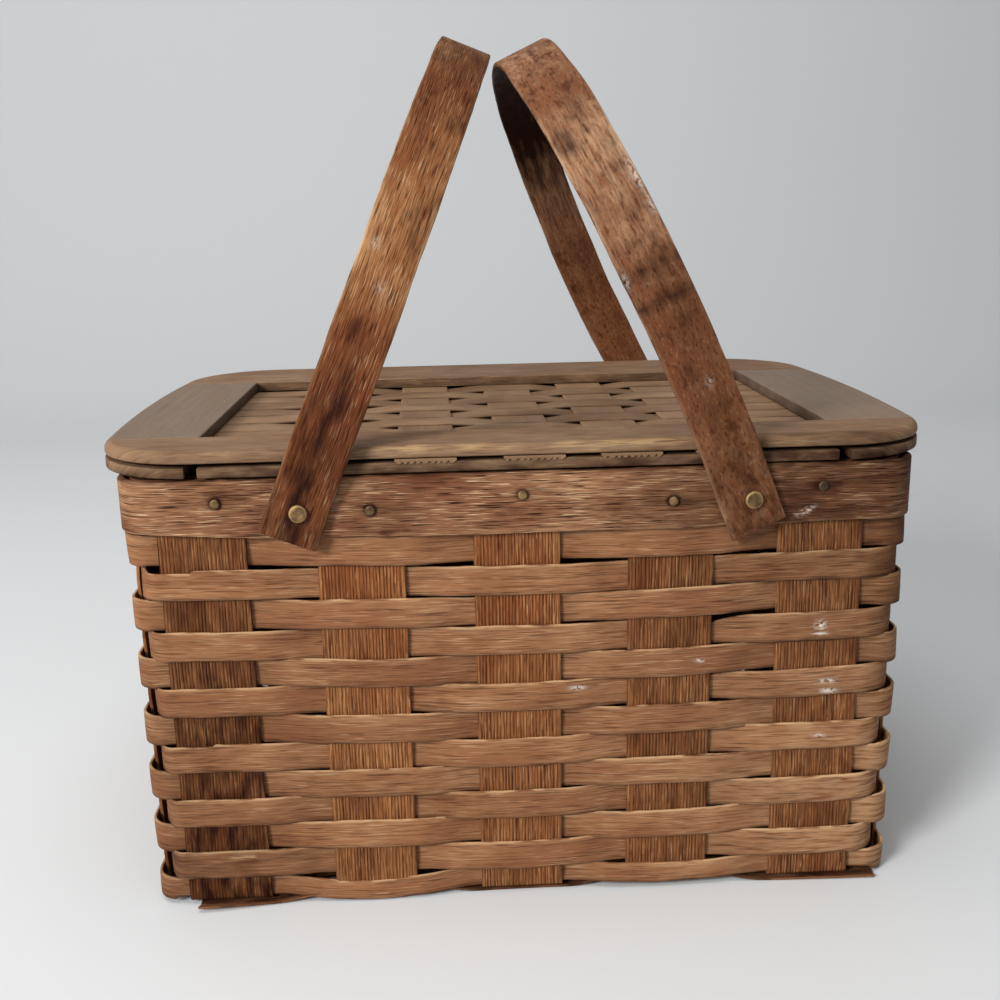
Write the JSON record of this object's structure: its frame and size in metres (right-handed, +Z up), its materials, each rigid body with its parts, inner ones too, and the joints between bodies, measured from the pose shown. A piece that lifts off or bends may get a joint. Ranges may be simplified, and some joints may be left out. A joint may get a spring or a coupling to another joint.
{
  "type": "picnic basket",
  "caption": "Woven splint picnic basket with a framed, hinged lid and two bent-wood swing handles that meet over the lid.",
  "frame": {"origin": "centre of the footprint on the ground, under the woven bottom", "axes": "+Z up, +X along the length to the right as seen from the front, -Y to the front that the picture shows"},
  "size_m": [0.4446, 0.3252, 0.465],
  "materials": {
    "stake_splint": "ridged, oiled",
    "weaver_splint": "smooth, oiled",
    "rim_wood": "coarse grain, worn",
    "handle_wood": "coarse grain, worn",
    "lid_wood": "weathered, matt",
    "panel_splint": "weathered, matt",
    "brass": "dulled"
  },
  "bodies": {
    "basket": {"cross_stake_1": "stake_splint", "cross_stake_2": "stake_splint", "cross_stake_3": "stake_splint", "cross_stake_4": "stake_splint", "cross_stake_5": "stake_splint", "length_stake_1": "stake_splint", "length_stake_2": "stake_splint", "length_stake_3": "stake_splint", "length_stake_4": "stake_splint", "weaver_01": "weaver_splint", "weaver_02": "weaver_splint", "weaver_03": "weaver_splint", "weaver_04": "weaver_splint", "weaver_05": "weaver_splint", "weaver_06": "weaver_splint", "weaver_07": "weaver_splint", "weaver_08": "weaver_splint", "weaver_09": "weaver_splint", "weaver_10": "weaver_splint", "weaver_11": "weaver_splint", "weaver_12": "weaver_splint", "weaver_13": "weaver_splint", "outer_rim": "rim_wood", "inner_rim": "rim_wood", "rivet_front_left": "brass", "rivet_front_right": "brass", "rivet_back_left": "brass", "rivet_back_right": "brass", "rim_nail_1": "brass", "rim_nail_2": "brass", "rim_nail_3": "brass", "rim_nail_4": "brass", "rim_nail_5": "brass", "hinge_left_rim_leaf": "brass", "hinge_right_rim_leaf": "brass"},
    "lid": {"lid_front_rail": "lid_wood", "lid_back_rail": "lid_wood", "lid_left_end_board": "lid_wood", "lid_right_end_board": "lid_wood", "lid_lower_front_rail": "lid_wood", "lid_lower_back_rail": "lid_wood", "lid_lower_left_end": "lid_wood", "lid_lower_right_end": "lid_wood", "lid_cross_splint_1": "panel_splint", "lid_cross_splint_2": "panel_splint", "lid_cross_splint_3": "panel_splint", "lid_cross_splint_4": "panel_splint", "lid_cross_splint_5": "panel_splint", "lid_long_splint_1": "panel_splint", "lid_long_splint_2": "panel_splint", "lid_long_splint_3": "panel_splint", "lid_long_splint_4": "panel_splint", "lid_long_splint_5": "panel_splint", "lid_long_splint_6": "panel_splint", "lid_long_splint_7": "panel_splint", "lid_long_splint_8": "panel_splint", "hinge_left_lid_leaf": "brass", "hinge_right_lid_leaf": "brass"},
    "left_handle": {"left_handle": "handle_wood"},
    "right_handle": {"right_handle": "handle_wood"}
  },
  "joints": [
    {"name": "lid_hinge", "type": "hinge", "parent": "basket", "child": "lid", "pos_m": [0, 0.1566, 0.2508], "axis": [-1, 0, 0], "range_deg": [0, 12]},
    {"name": "left_handle_swing", "type": "hinge", "parent": "basket", "child": "left_handle", "pos_m": [-0.11225, 0, 0.2225], "axis": [0, -1, 0], "range_deg": [0, 130]},
    {"name": "right_handle_swing", "type": "hinge", "parent": "basket", "child": "right_handle", "pos_m": [0.11685, 0, 0.2225], "axis": [0, 1, 0], "range_deg": [0, 155]}
  ]
}
